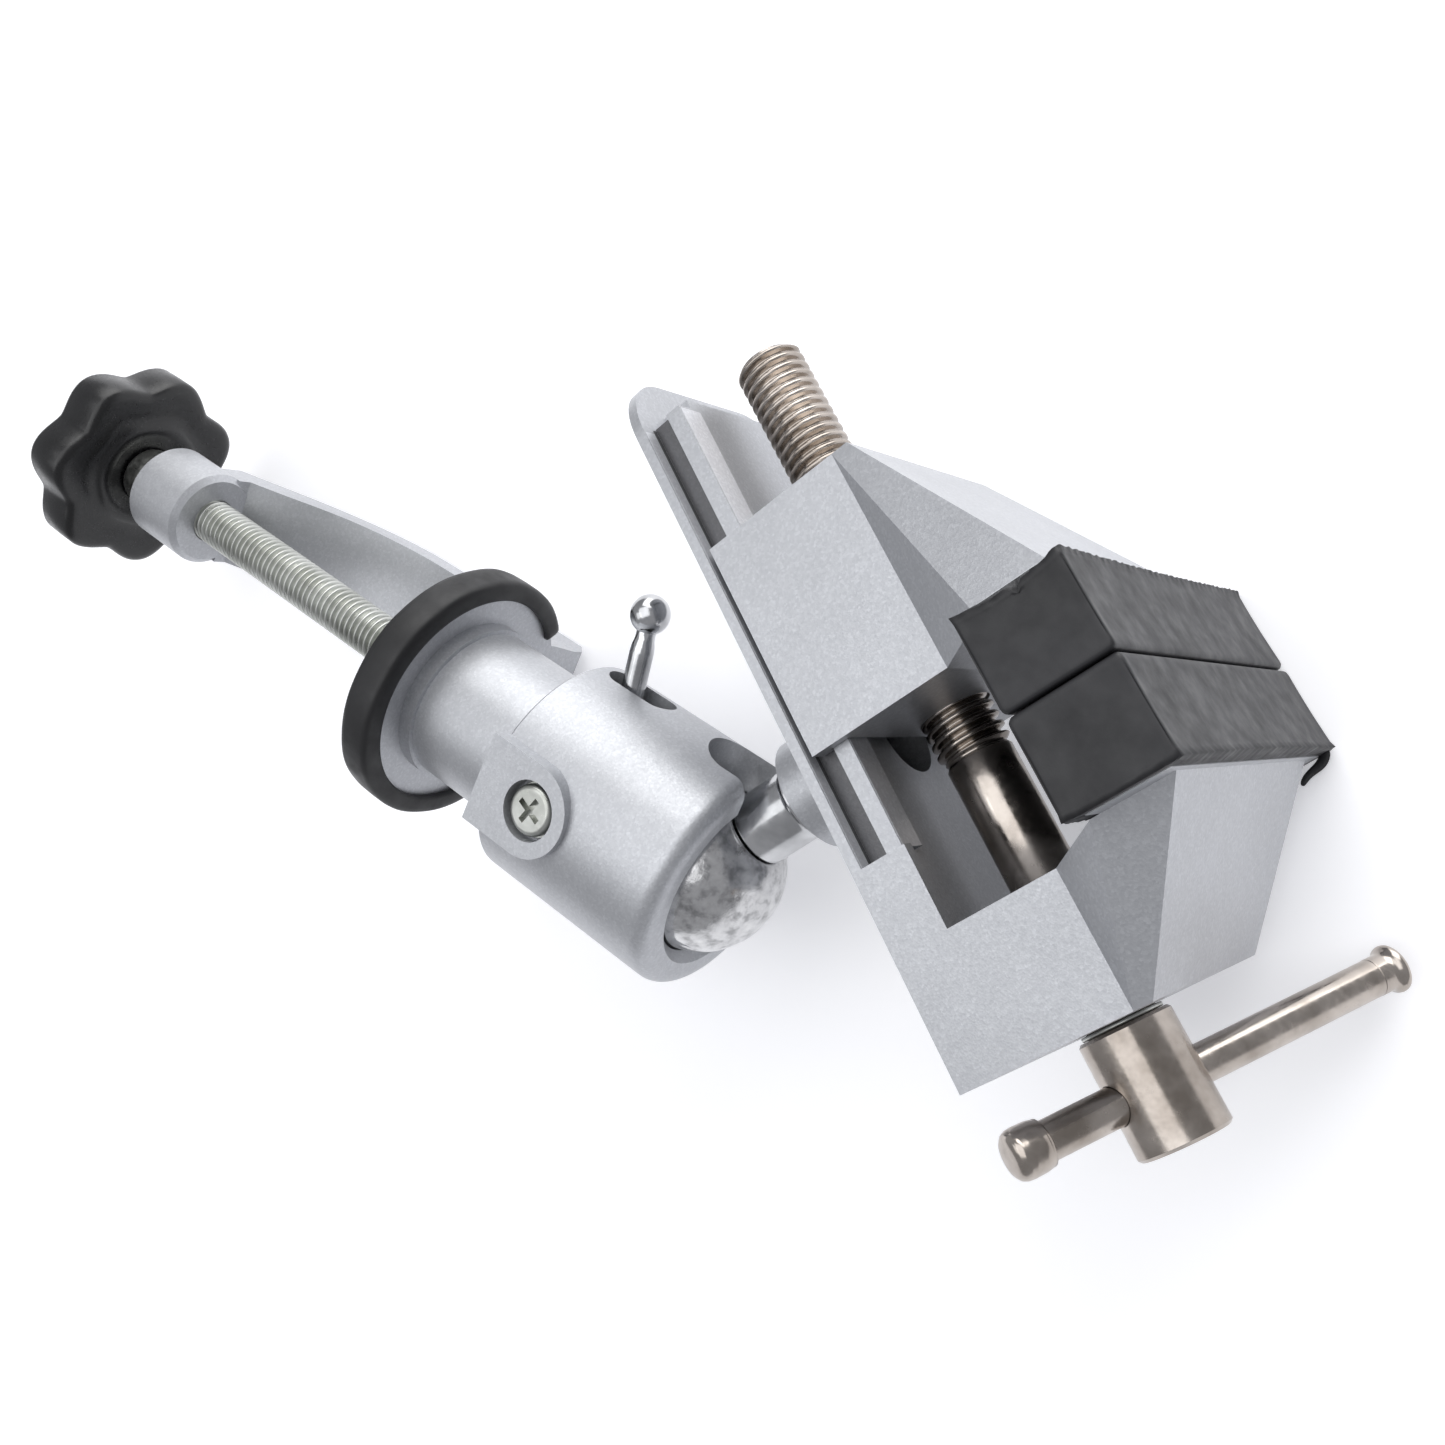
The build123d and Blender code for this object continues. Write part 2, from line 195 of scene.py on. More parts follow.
def bump(t, src, strength, distance, previous=None):
    b = t.nodes.new("ShaderNodeBump")
    b.inputs["Strength"].default_value = strength
    b.inputs["Distance"].default_value = distance
    t.links.new(src, b.inputs["Height"])
    if previous is not None:
        t.links.new(previous.outputs["Normal"], b.inputs["Normal"])
    return b


def cast_material(name, tone=(0.48, 0.49, 0.512), grain=1.0):
    """Silver sand-textured casting: fine metallic grain under a thin satin coat."""
    m, t, p, co = base_material(name)
    big = noise(t, co, 60, 3)
    fine = noise(t, co, 2600, 3, 0.6)
    speck = t.nodes.new("ShaderNodeTexVoronoi")
    speck.inputs["Scale"].default_value = 3000
    t.links.new(co.outputs["Object"], speck.inputs["Vector"])
    lo = tuple(c * 0.97 for c in tone)
    hi = tuple(min(1, c * 1.03) for c in tone)
    cr = ramp(t, big.outputs["Fac"], [(0.35, lo), (0.65, hi)])
    flake = ramp(t, speck.outputs["Color"], [(0.2, (0.94, 0.94, 0.945)), (0.6, (1.0, 1.0, 1.0)), (0.92, (1.10, 1.10, 1.10))])
    mix = t.nodes.new("ShaderNodeMix")
    mix.data_type = "RGBA"
    mix.blend_type = "MULTIPLY"
    mix.inputs["Factor"].default_value = 1.0
    t.links.new(cr.outputs["Color"], mix.inputs["A"])
    t.links.new(flake.outputs["Color"], mix.inputs["B"])
    t.links.new(mix.outputs["Result"], p.inputs["Base Color"])
    rr = spread(t, fine.outputs["Fac"], 0.38, 0.50)
    t.links.new(rr.outputs["Result"], p.inputs["Roughness"])
    p.inputs["Metallic"].default_value = 0.72
    b1 = bump(t, fine.outputs["Fac"], 0.16 * grain, 0.00010)
    b2 = bump(t, speck.outputs["Distance"], 0.10 * grain, 0.00010, b1)
    t.links.new(b2.outputs["Normal"], p.inputs["Normal"])
    p.inputs["Coat Weight"].default_value = 0.15
    p.inputs["Coat Roughness"].default_value = 0.3
    return m


def plated_material(name, tone, rough=(0.16, 0.30), bumps=0.15, tint=None, scale=900):
    """Plated steel with faint turning marks and stains."""
    m, t, p, co = base_material(name)
    big = noise(t, co, 140, 4)
    fine = noise(t, co, scale, 3)
    hi = tuple(min(1, c * 1.08) for c in tone)
    lo = tint or tuple(c * 0.84 for c in tone)
    cr = ramp(t, big.outputs["Fac"], [(0.32, lo), (0.62, hi)])
    t.links.new(cr.outputs["Color"], p.inputs["Base Color"])
    rr = spread(t, fine.outputs["Fac"], rough[0], rough[1])
    t.links.new(rr.outputs["Result"], p.inputs["Roughness"])
    p.inputs["Metallic"].default_value = 1.0
    b = bump(t, fine.outputs["Fac"], bumps, 0.00008)
    b2 = bump(t, big.outputs["Fac"], bumps * 0.5, 0.0003, b)
    t.links.new(b2.outputs["Normal"], p.inputs["Normal"])
    return m


def pitted_chrome(name):
    """Rough-polished bright metal of the ball, with dents and dark pits."""
    m, t, p, co = base_material(name)
    big = noise(t, co, 230, 5, 0.62)
    mid = noise(t, co, 520, 4, 0.6)
    pit = t.nodes.new("ShaderNodeTexVoronoi")
    pit.inputs["Scale"].default_value = 420
    t.links.new(co.outputs["Object"], pit.inputs["Vector"])
    cr = ramp(t, mid.outputs["Fac"], [(0.33, (0.34, 0.34, 0.345)), (0.5, (0.60, 0.60, 0.605)), (0.7, (0.72, 0.72, 0.72))])
    t.links.new(cr.outputs["Color"], p.inputs["Base Color"])
    rr = spread(t, big.outputs["Fac"], 0.12, 0.30)
    t.links.new(rr.outputs["Result"], p.inputs["Roughness"])
    p.inputs["Metallic"].default_value = 1.0
    b = bump(t, big.outputs["Fac"], 0.22, 0.0004)
    b2 = bump(t, pit.outputs["Distance"], 0.12, 0.0004, b)
    t.links.new(b2.outputs["Normal"], p.inputs["Normal"])
    return m


def rubber_material(name, tone=(0.030, 0.030, 0.033), edge=False):
    m, t, p, co = base_material(name)
    big = noise(t, co, 90, 4)
    fine = noise(t, co, 2200, 3)
    cloud = noise(t, co, 320, 4)
    lo = tuple(c * 0.75 for c in tone)
    hi = tuple(c * 1.5 for c in tone)
    cr = ramp(t, big.outputs["Fac"], [(0.3, lo), (0.7, hi)])
    t.links.new(cr.outputs["Color"], p.inputs["Base Color"])
    rr = spread(t, cloud.outputs["Fac"], 0.40, 0.60)
    t.links.new(rr.outputs["Result"], p.inputs["Roughness"])
    p.inputs["Specular IOR Level"].default_value = 0.45
    b = bump(t, cloud.outputs["Fac"], 0.05, 0.0005)
    b2 = bump(t, fine.outputs["Fac"], 0.10, 0.0001, b)
    t.links.new(b2.outputs["Normal"], p.inputs["Normal"])
    return m


def plastic_material(name, tone=(0.0045, 0.0045, 0.005)):
    m, t, p, co = base_material(name)
    big = noise(t, co, 120, 3)
    fine = noise(t, co, 1800, 3)
    cr = ramp(t, big.outputs["Fac"], [(0.3, tuple(c * 0.8 for c in tone)), (0.7, tuple(c * 1.4 for c in tone))])
    t.links.new(cr.outputs["Color"], p.inputs["Base Color"])
    rr = spread(t, fine.outputs["Fac"], 0.26, 0.36)
    t.links.new(rr.outputs["Result"], p.inputs["Roughness"])
    b = bump(t, fine.outputs["Fac"], 0.12, 0.0001)
    b2 = bump(t, big.outputs["Fac"], 0.15, 0.0006, b)
    t.links.new(b2.outputs["Normal"], p.inputs["Normal"])
    return m


M_CAST = cast_material("cast_silver")
# painted highlight: a much lighter, smoother casting for thin strips on the rail and flange tops, standing in for the
# light those upward faces catch
M_RAIL_HIGHLIGHT = cast_material("cast_painted_highlight", (0.72, 0.73, 0.76), 0.4)
# painted shade: a near-black casting for strips on the neck and flange root under the rail lips, standing in for the
# shadow in that recess
M_NECK_SHADE = cast_material("cast_painted_shade", (0.12, 0.12, 0.125), 1.2)
M_NICKEL = plated_material("nickel_warm", (0.47, 0.425, 0.385), (0.14, 0.28), 0.12, (0.30, 0.262, 0.228))
M_ZINC = plated_material("zinc_plate", (0.52, 0.53, 0.505), (0.26, 0.42), 0.2, (0.40, 0.41, 0.38))
M_CHROME = plated_material("chrome_steel", (0.58, 0.585, 0.595), (0.10, 0.24), 0.2, (0.40, 0.405, 0.415), 500)
M_BALL = pitted_chrome("ball_chrome")
M_RUBBER = rubber_material("rubber_black", (0.016, 0.016, 0.018))
M_RING = rubber_material("rubber_ring", (0.008, 0.008, 0.009))
M_KNOB = plastic_material("knob_black")

NODE_MATS = {
    "bed_fixed_jaw": M_CAST, "moving_jaw": M_CAST, "socket_body": M_CAST, "clamp_frame": M_CAST,
    "screw_hub": M_NICKEL, "t_bar": M_NICKEL, "t_bar_caps": M_NICKEL, "lead_screw": M_NICKEL,
    "thrust_washer": M_ZINC, "retaining_pin": M_ZINC, "stem_washer": M_ZINC, "stem_screw": M_ZINC,
    "cam_shaft": M_ZINC, "cam_screw": M_ZINC, "cam_washer": M_ZINC, "plunger": M_ZINC, "swivel_retainer": M_ZINC,
    "swivel_screw": M_ZINC, "clamp_screw": M_ZINC, "clamp_foot": M_ZINC, "knob_collar": M_ZINC,
    "swivel_ball": M_BALL, "ball_stem": M_CHROME, "lever_rod": M_CHROME, "lever_ball": M_CHROME,
    "jaw_cap_fixed": M_RUBBER, "jaw_cap_moving": M_RUBBER, "disc_ring": M_RING, "foot_pad": M_RING, "clamp_knob": M_KNOB,
}
BEVELS = {"bed_fixed_jaw": 0.35, "moving_jaw": 0.35, "socket_body": 0.35, "clamp_frame": 0.5, "screw_hub": 0.3}
for node, ob in frame["nodes"].items():
    ob.data.materials.clear()
    ob.data.materials.append(NODE_MATS[node])
    if node in BEVELS:
        bevel(ob, BEVELS[node])


def finish_piece(ob, body, mat, slot_name, *nodes):
    ob.data.materials.append(mat)
    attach(ob, body)
    if nodes:
        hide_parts(*nodes)
    return ob


# ------------------------------------------------------------------ threaded screws
def screw_piece(name, fr, off, x0, x1, r_major, pitch, depth, ends, n=56):
    """A right-hand thread between x0 and x1 with plain stretches given by ends: (x, r) before and after."""
    step = pitch / 12.0
    xs = list(np.arange(x0, x1 + 1e-6, step))
    before, after = ends
    rings = [x for x, _ in before] + xs + [x for x, _ in after]
    nb, nx = len(before), len(xs)

    def radius(i, x, ang):
        if i < nb:
            return np.full(len(ang), before[i][1])
        if i >= nb + nx:
            return np.full(len(ang), after[i - nb - nx][1])
        ph = (x / pitch - ang / (2 * math.pi)) % 1.0
        tri = np.abs(ph - 0.5) * 2.0
        prof = np.clip((tri - 0.16) / 0.62, 0, 1)
        prof = prof * prof * (3 - 2 * prof)
        r = r_major - depth + depth * prof
        lead = min(x - x0, x1 - x)
        return np.minimum(r, r_major - depth + max(lead, 0.0) * 1.1)

    v, f = revolved(name, fr, rings, n, radius)
    v = v + np.array(off)
    return new_mesh(name, place(fr, v), f)


SZ = 13.35
lead = screw_piece("lead_screw_threaded", "V", (0, 0, SZ), -67.7, -5.0, 4.86, 1.5, 0.86,
                   ([(-67.9, 3.4)], [(-4.7, 4.3), (-4.4, 4.5), (20.5, 4.5), (20.6, 3.4), (23.4, 3.4), (23.5, 4.5), (35.4, 4.5)]))
finish_piece(lead, "screw", M_NICKEL, "nickel_steel", "lead_screw")
csc = screw_piece("clamp_screw_threaded", "K", (0, 0, 0), 63.0, 140.0, 3.98, 1.25, 0.72,
                  ([(59.0, 2.9), (59.1, 3.0), (62.4, 3.0), (62.8, 3.3)], [(140.2, 3.9), (145.9, 3.9)]))
finish_piece(csc, "knob", M_ZINC, "zinc_steel", "clamp_screw")


# ------------------------------------------------------------------ turned and polished round pieces
def tight(prof):
    """Adds a ring close to each end of a long stretch, so that smooth shading stays near the corners."""
    out = [prof[0]]
    for (xa, ra), (xb, rb) in zip(prof[:-1], prof[1:]):
        gap = math.hypot(xb - xa, rb - ra)
        if gap > 0.8:
            for k in (0.12 / gap, 1 - 0.12 / gap):
                out.append((xa + (xb - xa) * k, ra + (rb - ra) * k))
        out.append((xb, rb))
    return out


def axis_piece(name, fr, origin, direction, prof, n=96, shape=None):
    """A turned piece: prof is (distance, radius) in mm along the direction from origin, closed at both ends."""
    prof = tight(prof)
    d = unit(direction)
    h = unit(np.cross(d, [0.31, 0.52, 0.79]))
    k = np.cross(d, h)
    ang = np.arange(n) * 2 * math.pi / n
    verts, faces = [], []
    for x, r in prof:
        rr = np.full(n, r) if shape is None else shape(x, r, ang)
        verts.append(np.array(origin) + x * d + np.outer(rr * np.cos(ang), h) + np.outer(rr * np.sin(ang), k))
    m = len(prof)
    v = np.vstack(verts + [[np.array(origin) + prof[0][0] * d], [np.array(origin) + prof[-1][0] * d]])
    for i in range(m - 1):
        for j in range(n):
            q = (j + 1) % n
            faces.append((i * n + j, i * n + q, (i + 1) * n + q, (i + 1) * n + j))
    for j in range(n):
        q = (j + 1) % n
        faces.append((m * n, q, j))
        faces.append((m * n + 1, (m - 1) * n + j, (m - 1) * n + q))
    return new_mesh(name, place(fr, v), faces)


def arc(cx, r, a0, a1, steps):
    """Points of a circle of radius r centred on the axis at cx."""
    return [(cx + r * math.cos(a), r * math.sin(a)) for a in np.linspace(math.radians(a0), math.radians(a1), steps)]


# lever: rod with a rolled neck, and its ball
la = math.radians(79.0)
ldir = (math.cos(la), math.sin(la), 0)
rod_prof = [(-1.5, 1.8), (6.0, 1.8), (18.0, 1.8), (22.6, 1.8), (23.6, 1.72), (24.6, 1.5), (25.2, 1.45), (27.0, 1.45)]
finish_piece(axis_piece("lever_rod_turned", "K", (18.9, 0, 0), ldir, rod_prof), "cam", M_CHROME, "chromed_steel", "lever_rod")
ball_prof = arc(28.3, 3.0, 150, 2, 40)
finish_piece(axis_piece("lever_ball_turned", "K", (18.9, 0, 0), ldir, ball_prof), "cam", M_CHROME, "chromed_steel", "lever_ball")

# ball stem: shoulder against the ball, rounded at the boss
stem_prof = [(-36.3, 3.45), (-20.65, 3.45), (-20.55, 5.05), (-20.4, 5.2), (-14.0, 5.2), (-12.4, 5.2), (-11.9, 5.3), (-11.5, 5.7), (-11.3, 6.2),
             (-10.05, 6.2), (-10.02, 4.0), (-6.0, 4.0)]
finish_piece(axis_piece("ball_stem_turned", "V", (-12.15, 0, 0), (0, 0, 1), stem_prof), "head", M_CHROME, "chromed_steel", "ball_stem")


# swivel ball: bright, hand-polished, with shallow dents and a few pits
def ball_shape(x, r, ang):
    p = np.c_[np.full(len(ang), x), r * np.cos(ang), r * np.sin(ang)]
    dent = hash_noise(p * 0.9, 31)
    pit = np.clip(hash_noise(p * 2.6, 37) - 0.55, 0, 1)
    return r - np.clip(0.05 + 0.06 * dent, 0, 0.2) * (r / 12.0) - 0.22 * pit * (r / 12.0)


sph = arc(0.0, 12.0, 179, 27, 90)
sph.append((sph[-1][0], 3.6))
finish_piece(axis_piece("swivel_ball_polished", "V", (-12.15, 0, -31.46), (0, 0, 1), sph, 160, ball_shape), "ball", M_BALL, "chromed_steel",
             "swivel_ball")

# thrust washer between block and hub
wash = [(30.98, 4.52), (31.0, 5.1), (31.1, 5.25), (31.45, 5.25), (31.56, 5.1), (31.57, 4.52)]
finish_piece(axis_piece("thrust_washer_turned", "V", (0, 0, SZ), (1, 0, 0), wash), "screw", M_ZINC, "zinc_steel", "thrust_washer")

# handle bar and its two peened ends
bd = (0, math.cos(math.radians(40.5)), math.sin(math.radians(40.5)))
bo = (39.3, 0, SZ)
bar_prof = [(-19.0, 2.38), (35.3, 2.38)]
finish_piece(axis_piece("t_bar_turned", "V", bo, bd, bar_prof), "bar", M_NICKEL, "nickel_steel", "t_bar")
near = [(-15.9, 2.41), (-15.92, 2.62), (-16.05, 2.86), (-16.3, 2.84), (-16.5, 2.92), (-17.2, 3.04), (-18.8, 3.08), (-19.6, 3.0), (-20.15, 2.75),
        (-20.5, 2.3), (-20.62, 1.7), (-20.68, 0.9), (-20.7, 0.3)]
far = [(33.2, 2.40), (34.9, 2.42), (35.3, 2.52), (35.6, 2.74), (35.9, 2.98), (36.25, 3.08), (36.55, 3.04), (36.74, 2.88), (36.8, 2.6), (36.8, 0.5)]
e1 = axis_piece("t_bar_end_near", "V", bo, bd, near[::-1])
e2 = axis_piece("t_bar_end_far", "V", bo, bd, far)
finish_piece(e1, "bar", M_NICKEL, "nickel_steel", "t_bar_caps")
finish_piece(e2, "bar", M_NICKEL, "nickel_steel", "t_bar_caps")


# ------------------------------------------------------------------ knob: seven lobes, rolled rim and hub
def knob_radius(a):
    w = 0.5 + 0.5 * np.cos(7 * (a - math.radians(11.0)))
    return 15.95 + 2.45 * w ** 0.8


def lobe_piece():
    n = 336
    a = np.arange(n) * 2 * math.pi / n
    rr = knob_radius(a)
    # (x, inset from the rim, blend towards a circle)
    prof = [(138.8, 9.9), (138.35, 9.4), (138.3, 8.0), (138.6, 7.2), (139.1, 6.6), (138.9, 4.6), (138.75, 2.4), (138.8, 1.5),
            (139.05, 0.75), (139.5, 0.25), (140.1, 0.0), (143.7, -0.05), (147.3, 0.0), (147.9, 0.25), (148.45, 0.8), (148.8, 1.6),
            (149.0, 2.8), (148.6, 5.0), (148.2, 8.0)]
    verts, faces = [], []
    for x, inset in prof:
        k = min(1.0, max(0.0, inset / 8.0))
        r = (rr - inset) * (1 - k) + (17.2 - inset) * k
        verts.append(np.c_[np.full(n, x), r * np.cos(a), r * np.sin(a)])
    m = len(prof)
    v = np.vstack(verts + [np.array([[138.8, 0, 0], [148.0, 0, 0]])])
    for i in range(m - 1):
        for j in range(n):
            k = (j + 1) % n
            faces.append((i * n + j, i * n + k, (i + 1) * n + k, (i + 1) * n + j))
    for j in range(n):
        k = (j + 1) % n
        faces.append((m * n, k, j))
        faces.append((m * n + 1, (m - 1) * n + j, (m - 1) * n + k))
    return new_mesh("knob_lobed", place("K", v), faces)


finish_piece(lobe_piece(), "knob", M_KNOB, "knob_plastic", "clamp_knob")


# ------------------------------------------------------------------ rubber ring over the disc
def ring_piece():
    """C-shaped section swept round the disc, open for the arm, with rolled ends."""
    prof = [(49.5, 17.6), (49.4, 18.0), (49.42, 19.4), (49.6, 20.1), (50.0, 20.5), (50.7, 20.62), (52.5, 20.66), (54.3, 20.62), (55.0, 20.5),
            (55.4, 20.1), (55.58, 19.4), (55.6, 18.0), (55.5, 17.6), (55.2, 17.5), (54.6, 17.5), (54.42, 17.6), (54.41, 18.7), (54.2, 18.92),
            (50.8, 18.92), (50.59, 18.7), (50.58, 17.6), (50.4, 17.5), (49.8, 17.5)]
    p = np.array(prof)
    n0, n1, cnt = 127.0, 413.0, 170
    verts, faces = [], []
    m = len(p)
    ctr = p.mean(axis=0)
    angs = np.radians(np.linspace(n0, n1, cnt))
    for i, a in enumerate(angs):
        e = min(i, cnt - 1 - i)
        s = {0: 0.86, 1: 0.97}.get(e, 1.0)
        q = ctr + (p - ctr) * np.array([s, s if e == 0 else 1.0])
        if e < 2:
            q = np.c_[ctr[0] + (p[:, 0] - ctr[0]) * s, p[:, 1]]
        wob = 0.06 * math.sin(5 * a) + 0.05 * math.sin(11 * a + 1.0)
        x, r = q[:, 0], q[:, 1] + np.where(q[:, 1] > 19.5, wob, 0)
        verts.append(np.c_[x, r * math.cos(a), r * math.sin(a)])
    for i in range(cnt - 1):
        for j in range(m):
            k = (j + 1) % m
            faces.append((i * m + j, (i + 1) * m + j, (i + 1) * m + k, i * m + k))
    faces.append(tuple(range(m)))
    faces.append(tuple(reversed(range((cnt - 1) * m, cnt * m))))
    return new_mesh("disc_ring_rubber", place("K", np.vstack(verts)), faces)


finish_piece(ring_piece(), "clamp", M_RING, "rubber", "disc_ring")


# ------------------------------------------------------------------ rubber jaw caps
def cap_piece(name, sign):
    """Open-backed rubber cap: rounded outer skin with bead lines, small wrinkles and a ragged back rim."""
    x0, x1, hy, z0, z1, r = 0.12, 12.2, 32.0, 30.7, 44.5, 0.75
    lo = np.array([x0, -hy, z0])
    hi = np.array([x1, hy, z1])

    def axis_pts(a, b, step):
        mid = np.linspace(a + 1.0, b - 1.0, max(3, int((b - a) / step)))
        return np.r_[a, a + 0.12, a + 0.3, a + 0.55, mid, b - 0.55, b - 0.3, b - 0.12, b]
    ax = [axis_pts(x0, x1, 0.55)[:-3], axis_pts(-hy, hy, 0.6), axis_pts(z0, z1, 0.55)]
    ax[0][-1] = x1
    verts, faces, index = [], [], {}

    def vert(p):
        key = tuple(np.round(p, 4))
        if key not in index:
            index[key] = len(verts)
            verts.append(p)
        return index[key]

    def sheet(u, v, make, flip):
        for i in range(len(u) - 1):
            for j in range(len(v) - 1):
                q = [vert(make(u[i], v[j])), vert(make(u[i + 1], v[j])), vert(make(u[i + 1], v[j + 1])), vert(make(u[i], v[j + 1]))]
                faces.append(q if not flip else q[::-1])
    sheet(ax[1], ax[2], lambda y, z: (x0, y, z), True)
    sheet(ax[0], ax[1], lambda x, y: (x, y, z0), True)
    sheet(ax[0], ax[1], lambda x, y: (x, y, z1), False)
    sheet(ax[0], ax[2], lambda x, z: (x, -hy, z), False)
    sheet(ax[0], ax[2], lambda x, z: (x, hy, z), True)
    p = np.array(verts, float)
    # inner skin, just clear of the metal jaw plate
    ilo = np.array([1.92, -hy + 1.82, z0 + 1.82])
    ihi = np.array([x1, hy - 1.82, z1 - 1.82])
    inner = ilo + (p - lo) / (hi - lo) * (ihi - ilo)
    # roll the outer edges
    lo_r = lo + r
    hi_r = hi - r
    hi_r[0] = hi[0] + 5
    core = np.clip(p, lo_r, hi_r)
    d = p - core
    ln = np.linalg.norm(d, axis=1)
    outn = np.where(ln[:, None] > 1e-9, d / np.maximum(ln, 1e-9)[:, None], 0)
    q = core + outn * np.minimum(ln, r)[:, None]
    nz = hash_noise(p * 0.22, 3 if sign > 0 else 8)
    bead = 2.0 * np.abs(outn[:, 1]) * np.abs(outn[:, 2])
    back = np.clip((p[:, 0] - 10.6) / 1.6, 0, 1)
    # shallow waviness of the moulding, none on the gripping face
    amp = 0.02 * nz + 0.16 * bead
    side = np.clip((p[:, 0] - x0) / 0.8, 0, 1)
    q += outn * (amp * side)[:, None]
    # sides draw in a little half way back
    bow = np.sin(np.clip((p[:, 0] - x0) / (x1 - x0), 0, 1) * math.pi)
    q[:, 1] -= np.sign(p[:, 1]) * (np.abs(p[:, 1]) > hy - 0.01) * 0.30 * bow
    q[:, 2] -= (p[:, 2] > z1 - 0.01) * 0.12 * bow
    # ragged rim with a thin flash standing out
    rag = 0.05 * np.sin(p[:, 1] * 2.3 + p[:, 2] * 1.7) + 0.05 * np.sin(p[:, 1] * 5.7 + p[:, 2] * 4.9 + 1.3)
    rag += 0.06 * hash_noise(p * 2.2, 21)
    draw = (0.9 if sign < 0 else -0.45) * np.sin(np.clip((p[:, 2] - z0) / (z1 - z0), 0, 1) * math.pi) * (np.abs(p[:, 1]) > hy - 0.01)
    draw += 0.35 * np.cos(p[:, 1] / hy * math.pi / 2) * (np.abs(p[:, 2] - (z0 + z1) / 2) > 6.5)
    notch = 1.1 * np.exp(-((p[:, 2] - 38.6) / 0.5) ** 2) * (p[:, 1] < -hy + 0.01) * (sign < 0)
    q[:, 0] += back ** 2 * (rag - 0.08 - notch) - np.clip((p[:, 0] - 6) / 6, 0, 1) ** 2 * draw
    rim = p[:, 0] > x1 - 0.3
    q += outn * (rim * (0.14 + 0.08 * np.sin(p[:, 1] * 3.3 + p[:, 2] * 2.9)))[:, None]
    q[:, 0] = np.minimum(q[:, 0], 12.25)
    n = len(p)
    allv = np.vstack([q, inner])
    edges = {}
    for f in faces:
        for i in range(4):
            e = (f[i], f[(i + 1) % 4])
            edges[e] = True
    rim_faces = [(e[1], e[0], e[0] + n, e[1] + n) for e in edges if (e[1], e[0]) not in edges]
    allf = list(faces) + [[i + n for i in reversed(f)] for f in faces] + rim_faces
    allv[:, 0] *= sign
    if sign < 0:
        allf = [list(reversed(f)) for f in allf]
    return new_mesh(name, place("V", allv), allf)


finish_piece(cap_piece("jaw_cap_fixed_rubber", 1), "head", M_RUBBER, "rubber", "jaw_cap_fixed")
finish_piece(cap_piece("jaw_cap_moving_rubber", -1), "jaw", M_RUBBER, "rubber", "jaw_cap_moving")



def strip_piece(name, fr, path, half, normal_k=0.35):
    """A thin curled rubber ribbon along a path of points, with width half on each side along the frame's X."""
    path = np.array(path, float)
    t = np.gradient(path, axis=0)
    verts, faces = [], []
    for i, (c, d) in enumerate(zip(path, t)):
        d = unit(d)
        side = unit(np.cross(d, [0.2, 1.0, 0.1]))
        nrm = np.cross(side, d)
        w = half[i]
        for a, b in ((-w, -normal_k), (w, -normal_k), (w, normal_k), (-w, normal_k)):
            verts.append(c + side * a + nrm * b)
    m = len(path)
    for i in range(m - 1):
        for j in range(4):
            k = (j + 1) % 4
            faces.append((i * 4 + j, i * 4 + k, i * 4 + 4 + k, i * 4 + 4 + j))
    faces.append((3, 2, 1, 0))
    faces.append((m * 4 - 4, m * 4 - 3, m * 4 - 2, m * 4 - 1))
    ob = new_mesh(name, place(fr, verts), faces)
    sub = ob.modifiers.new("soft", "SUBSURF")
    sub.levels = 2
    sub.render_levels = 2
    return ob


# loose flap of moulding flash at the far end of the fixed jaw's cap
flap = strip_piece("jaw_cap_flash", "V", [(11.6, 31.3, 43.6), (12.5, 31.35, 43.1), (13.3, 31.3, 42.0), (13.5, 31.2, 40.6), (13.9, 31.0, 39.4), (14.6, 30.8, 38.6)],
                   [0.7, 0.85, 0.8, 0.6, 0.55, 0.35], 0.3)
finish_piece(flap, "head", M_RUBBER, "rubber")


# ------------------------------------------------------------------ painted highlight on the rail and flange tops, and painted shade on the neck under the rail lips
def slab(name, x0, x1, y0, y1, z0, z1):
    v = [(x, y, z) for x in (x0, x1) for y in (y0, y1) for z in (z0, z1)]
    f = [(0, 1, 3, 2), (4, 6, 7, 5), (0, 4, 5, 1), (2, 3, 7, 6), (0, 2, 6, 4), (1, 5, 7, 3)]
    return new_mesh(name, place("V", v), f, False)


for tag, sg in (("near", -1), ("far", 1)):
    # painted highlight strips on the rail and flange tops: machined faces, painted far lighter than the casting to
    # stand in for the light they catch
    finish_piece(slab("rail_top_" + tag, -61.2, 3.38, sg * 12.75, sg * 17.2, 6.69, 6.74), "head", M_RAIL_HIGHLIGHT, "cast_alloy")
    finish_piece(slab("flange_top_" + tag, -60.6, 3.38, sg * 17.3, sg * 19.2, 1.49, 1.54), "head", M_RAIL_HIGHLIGHT, "cast_alloy")
    # painted shade strips on the neck face and on the flange root beneath each lip
    finish_piece(slab("rail_neck_" + tag, -61.45, 3.38, sg * 16.41, sg * 16.46, 1.55, 4.38), "head", M_NECK_SHADE, "cast_alloy")
    finish_piece(slab("rail_root_" + tag, -61.2, 3.38, sg * 16.47, sg * 17.2, 1.49, 1.53), "head", M_NECK_SHADE, "cast_alloy")

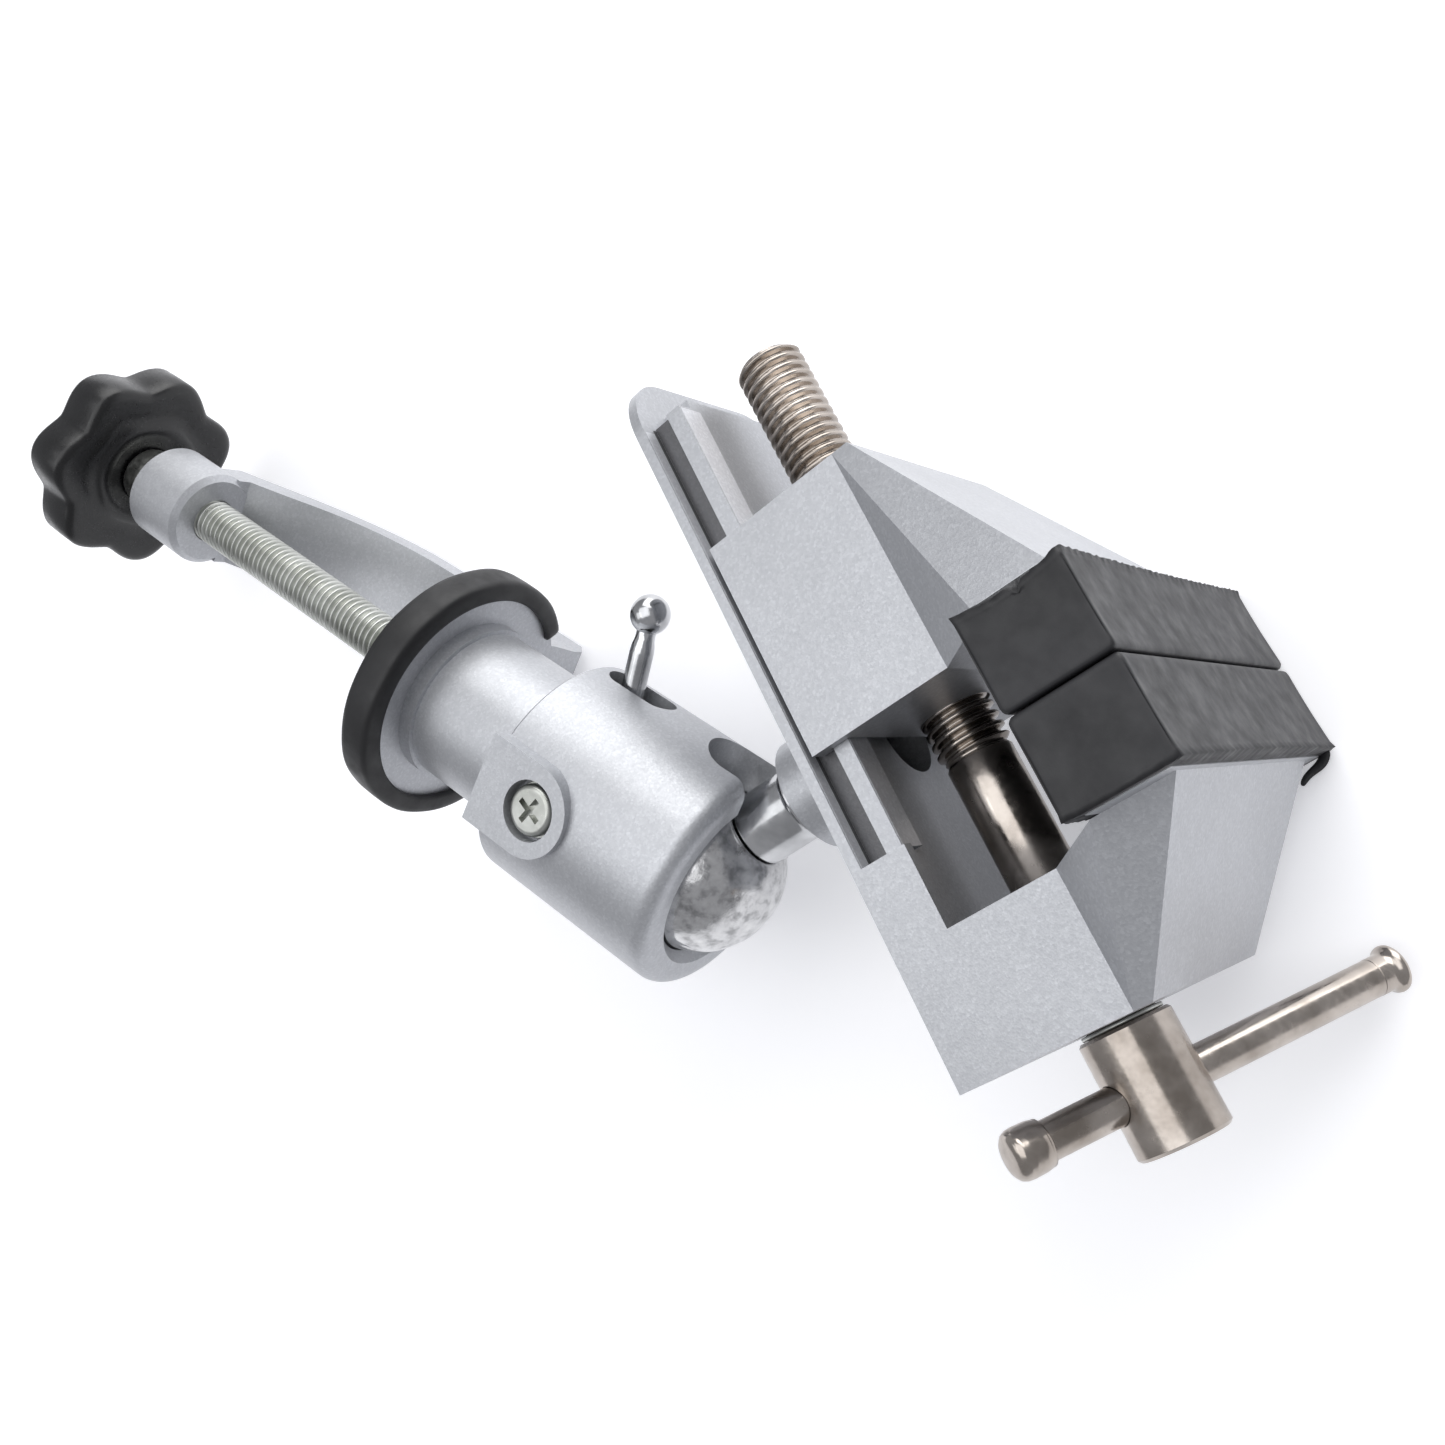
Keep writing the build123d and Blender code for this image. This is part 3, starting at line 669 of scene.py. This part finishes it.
# ------------------------------------------------------------------ floor, light and camera
lo, hi = [np.array(c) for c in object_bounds()]
mid = (lo + hi) / 2
fl = 1.6
fv = [(mid[0] - fl, mid[1] - fl, 0), (mid[0] + fl, mid[1] - fl, 0), (mid[0] + fl, mid[1] + fl, 0), (mid[0] - fl, mid[1] + fl, 0)]
floor = new_mesh("floor", fv, [(0, 1, 2, 3)], False)
fm, ft, fp, fco = base_material("floor_pale")
fn = noise(ft, fco, 9, 2)
fr_ = ramp(ft, fn.outputs["Fac"], [(0.3, (0.90, 0.90, 0.915)), (0.7, (0.92, 0.92, 0.93))])
ft.links.new(fr_.outputs["Color"], fp.inputs["Base Color"])
fp.inputs["Roughness"].default_value = 0.5
fp.inputs["Emission Color"].default_value = (0.96, 0.965, 1.0, 1)
fp.inputs["Emission Strength"].default_value = 0.30
floor.data.materials.append(fm)


def area(name, loc, target, size, power, color=(1, 1, 1), size_y=None):
    li = bpy.data.lights.new(name, "AREA")
    li.energy = power
    li.color = color
    li.shape = "RECTANGLE"
    li.size = size
    li.size_y = size_y or size
    ob = bpy.data.objects.new(name, li)
    bpy.context.scene.collection.objects.link(ob)
    ob.location = Vector(loc)
    ob.rotation_euler = (Vector(target) - Vector(loc)).to_track_quat("-Z", "Y").to_euler()
    return ob


# camera, in the head frame
cp = place("V", [(32.087, -175.049, 84.601)])[0]
cr = unit(np.array([0.41075, 0.57240, 0.70968]) @ FRAMES["V"][1])
cd = unit(np.array([0.85317, 0.03321, -0.52058]) @ FRAMES["V"][1])
cf = unit(np.array([-0.32154, 0.81931, -0.47471]) @ FRAMES["V"][1])
cam_data = bpy.data.cameras.new("camera")
cam = bpy.data.objects.new("camera", cam_data)
bpy.context.scene.collection.objects.link(cam)
cam.matrix_world = Matrix(((cr[0], -cd[0], -cf[0], cp[0]), (cr[1], -cd[1], -cf[1], cp[1]), (cr[2], -cd[2], -cf[2], cp[2]), (0, 0, 0, 1)))
cam_data.sensor_width = 36.0
cam_data.lens = 37.37
cam_data.shift_x = 0.01184
cam_data.shift_y = -0.03952
cam_data.clip_start = 0.01
cam_data.clip_end = 10
bpy.context.scene.camera = cam

up = np.array([0, 0, 1.0])
c_up = -cd


def from_camera(right, upw, back, dist):
    v = unit(cr * right + c_up * upw - cf * back) * dist
    return mid + v


def from_head(x, y, z, dist):
    """A point at that distance along a direction given in the head frame."""
    return mid + unit(np.array([x, y, z]) @ FRAMES["V"][1]) * dist


area("key", from_head(-0.70, -0.34, 0.62, 0.85), mid, 0.85, 6.6, (1.0, 0.998, 0.992))
area("top", (mid[0] + 0.1, mid[1] - 0.1, 1.0), mid, 1.0, 4.6, (0.985, 0.99, 1.0))
area("side", from_camera(-1.0, -0.1, 0.45, 0.7), mid, 0.35, 0.45, (0.98, 0.99, 1.0))
w = bpy.data.worlds.new("studio")
bpy.context.scene.world = w
w.use_nodes = True
bg = w.node_tree.nodes["Background"]
bg.inputs["Color"].default_value = (0.95, 0.96, 1.0, 1)
bg.inputs["Strength"].default_value = 0.40
bpy.context.scene.view_settings.view_transform = "Standard"
